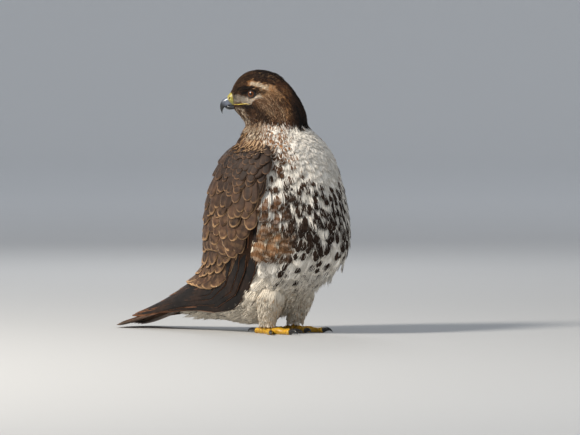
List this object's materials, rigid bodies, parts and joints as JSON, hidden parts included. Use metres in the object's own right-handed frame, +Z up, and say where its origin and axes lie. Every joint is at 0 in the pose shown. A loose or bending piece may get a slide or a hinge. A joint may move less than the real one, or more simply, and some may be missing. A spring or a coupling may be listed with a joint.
{
  "type": "standing hawk",
  "caption": "Life-size red-tailed hawk standing with wings folded, head turned over its right shoulder, and tail laid back on the floor.",
  "frame": {"origin": "on the floor, at the middle of the bird's bounding box seen from above", "axes": "+Z up, -Y the way the breast faces, +X the bird's left side, +Y along the tail"},
  "size_m": [0.198, 0.4007, 0.3746],
  "materials": {
    "brown_plumage": "soft matt feathers",
    "wing_plumage": "firm satin feathers",
    "white_plumage": "soft matt feathers",
    "tail_plumage": "firm satin feathers",
    "yellow_skin": "waxy",
    "horn": "glossy horn",
    "eye": "wet gloss"
  },
  "bodies": {
    "root": {"torso": "white_plumage", "neck": "brown_plumage", "head": "brown_plumage", "eye_left": "eye", "eye_right": "eye", "cere": "yellow_skin", "beak_upper": "horn", "beak_lower": "horn", "wing_left": "wing_plumage", "wing_right": "wing_plumage", "tail": "tail_plumage", "thigh_left": "white_plumage", "shank_left": "yellow_skin", "foot_left": "yellow_skin", "claw_left_middle": "horn", "claw_left_inner": "horn", "claw_left_outer": "horn", "claw_left_hind": "horn", "thigh_right": "white_plumage", "shank_right": "yellow_skin", "foot_right": "yellow_skin", "claw_right_middle": "horn", "claw_right_inner": "horn", "claw_right_outer": "horn", "claw_right_hind": "horn"}
  },
  "joints": []
}
